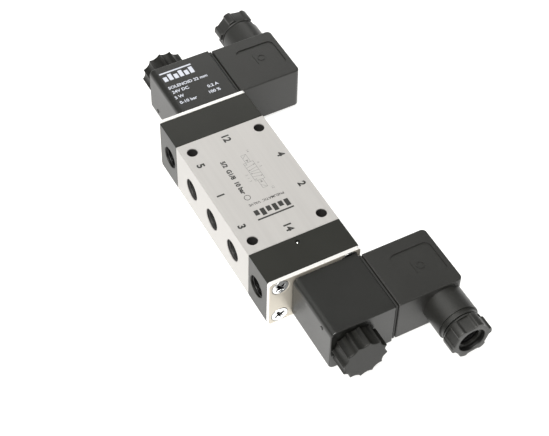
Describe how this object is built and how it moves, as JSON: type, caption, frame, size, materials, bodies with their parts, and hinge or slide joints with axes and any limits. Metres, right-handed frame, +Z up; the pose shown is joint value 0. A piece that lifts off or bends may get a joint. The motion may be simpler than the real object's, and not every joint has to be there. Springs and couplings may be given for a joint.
{
  "type": "solenoid directional valve",
  "caption": "Pneumatic spool valve: ported aluminium body between pilot heads, each with a flange plate, a swivelling coil, a fluted nut and a plug connector with a cable gland.",
  "frame": {"origin": "centre of the valve body's mounting face, in the middle of its four mounting holes", "axes": "+X along the spool towards end 14, +Y towards ports 2 and 4 and the connectors, +Z up, away from the mounting face"},
  "size_m": [0.197, 0.069, 0.0245],
  "materials": {
    "anodised_aluminium": "fine satin anodised, light grey",
    "black_aluminium": "black anodised, fine satin",
    "plated_plate": "bright zinc-plated sheet",
    "zinc_steel": "bright zinc-plated screw",
    "polished_steel": "ground steel",
    "coil_plastic": "fine moulded texture, near black",
    "connector_plastic": "fine moulded texture, dark grey",
    "nut_plastic": "moulded glass-filled plastic, dark grey",
    "gasket_rubber": "flat rubber, grey",
    "seal_rubber": "black rubber",
    "sleeve_plastic": "natural plastic",
    "copper": "enamelled copper wire",
    "tin_plate": "tin-plated brass",
    "magnet_iron": "soft magnetic stainless steel"
  },
  "bodies": {
    "root": {"valve_body": "anodised_aluminium", "spacer_cages": "sleeve_plastic", "spool_seals": "seal_rubber", "end_bushes": "sleeve_plastic", "head_seals": "seal_rubber", "ball_plugs": "polished_steel", "coil_washers": "seal_rubber", "head_screws": "zinc_steel", "flange_screws": "zinc_steel", "pilot_head_14": "black_aluminium", "flange_plate_14": "plated_plate", "stem_tube_14": "magnet_iron", "stem_core_14": "magnet_iron", "plunger_spring_14": "polished_steel", "pilot_head_12": "black_aluminium", "flange_plate_12": "plated_plate", "stem_tube_12": "magnet_iron", "stem_core_12": "magnet_iron", "plunger_spring_12": "polished_steel"},
    "spool": {"spool": "polished_steel", "pistons": "sleeve_plastic", "piston_seals": "seal_rubber"},
    "plunger_14": {"plunger_14": "magnet_iron", "plunger_seal_14": "seal_rubber"},
    "coil_14": {"coil_housing_14": "coil_plastic", "coil_bobbin_14": "sleeve_plastic", "coil_winding_14": "copper", "coil_yoke_14": "magnet_iron", "coil_terminals_14": "tin_plate", "connector_gasket_14": "gasket_rubber", "connector_housing_14": "connector_plastic", "connector_insert_14": "connector_plastic", "insert_contacts_14": "tin_plate", "connector_screw_14": "zinc_steel", "gland_grommet_14": "seal_rubber"},
    "nut_seal_14": {"nut_seal_14": "seal_rubber"},
    "retaining_nut_14": {"retaining_nut_14": "nut_plastic"},
    "gland_ring_14": {"gland_ring_14": "connector_plastic"},
    "gland_nut_14": {"gland_nut_14": "connector_plastic"},
    "plunger_12": {"plunger_12": "magnet_iron", "plunger_seal_12": "seal_rubber"},
    "coil_12": {"coil_housing_12": "coil_plastic", "coil_bobbin_12": "sleeve_plastic", "coil_winding_12": "copper", "coil_yoke_12": "magnet_iron", "coil_terminals_12": "tin_plate", "connector_gasket_12": "gasket_rubber", "connector_housing_12": "connector_plastic", "connector_insert_12": "connector_plastic", "insert_contacts_12": "tin_plate", "connector_screw_12": "zinc_steel", "gland_grommet_12": "seal_rubber"},
    "nut_seal_12": {"nut_seal_12": "seal_rubber"},
    "retaining_nut_12": {"retaining_nut_12": "nut_plastic"},
    "gland_ring_12": {"gland_ring_12": "connector_plastic"},
    "gland_nut_12": {"gland_nut_12": "connector_plastic"}
  },
  "joints": [
    {"name": "spool_shift", "type": "slide", "parent": "root", "child": "spool", "axis": [1, 0, 0], "range_m": [0, 0.005]},
    {"name": "plunger_lift_14", "type": "slide", "parent": "root", "child": "plunger_14", "axis": [1, 0, 0], "range_m": [0, 0.0008], "stiffness_N_per_m": 300, "springref_m": -0.003, "deforming": ["plunger_spring_14"]},
    {"name": "coil_swivel_14", "type": "hinge", "parent": "root", "child": "coil_14", "pos_m": [0.0644, 0, 0.01225], "axis": [1, 0, 0], "continuous": true},
    {"name": "nut_travel_14", "type": "slide", "parent": "root", "child": "nut_seal_14", "axis": [1, 0, 0], "range_m": [0, 0.003]},
    {"name": "nut_turn_14", "type": "hinge", "parent": "nut_seal_14", "child": "retaining_nut_14", "pos_m": [0.083, 0, 0.01225], "axis": [1, 0, 0], "range_deg": [0, 1080]},
    {"name": "gland_travel_14", "type": "slide", "parent": "coil_14", "child": "gland_ring_14", "axis": [1, 0, 0], "range_m": [0, 0.00225]},
    {"name": "gland_turn_14", "type": "hinge", "parent": "gland_ring_14", "child": "gland_nut_14", "pos_m": [0.095, 0.04, 0.01225], "axis": [1, 0, 0], "range_deg": [0, 540]},
    {"name": "plunger_lift_12", "type": "slide", "parent": "root", "child": "plunger_12", "axis": [-1, 0, 0], "range_m": [0, 0.0008], "stiffness_N_per_m": 300, "springref_m": -0.003, "deforming": ["plunger_spring_12"]},
    {"name": "coil_swivel_12", "type": "hinge", "parent": "root", "child": "coil_12", "pos_m": [-0.0644, 0, 0.01225], "axis": [-1, 0, 0], "continuous": true},
    {"name": "nut_travel_12", "type": "slide", "parent": "root", "child": "nut_seal_12", "axis": [-1, 0, 0], "range_m": [0, 0.003]},
    {"name": "nut_turn_12", "type": "hinge", "parent": "nut_seal_12", "child": "retaining_nut_12", "pos_m": [-0.083, 0, 0.01225], "axis": [-1, 0, 0], "range_deg": [0, 1080]},
    {"name": "gland_travel_12", "type": "slide", "parent": "coil_12", "child": "gland_ring_12", "axis": [-1, 0, 0], "range_m": [0, 0.00225]},
    {"name": "gland_turn_12", "type": "hinge", "parent": "gland_ring_12", "child": "gland_nut_12", "pos_m": [-0.095, 0.04, 0.01225], "axis": [-1, 0, 0], "range_deg": [0, 540]}
  ],
  "couplings": [
    {"joint": "nut_travel_14", "follows": "nut_turn_14", "m_per_rad": 0.00015915},
    {"joint": "gland_travel_14", "follows": "gland_turn_14", "m_per_rad": 0.00023873},
    {"joint": "nut_travel_12", "follows": "nut_turn_12", "m_per_rad": 0.00015915},
    {"joint": "gland_travel_12", "follows": "gland_turn_12", "m_per_rad": 0.00023873}
  ]
}
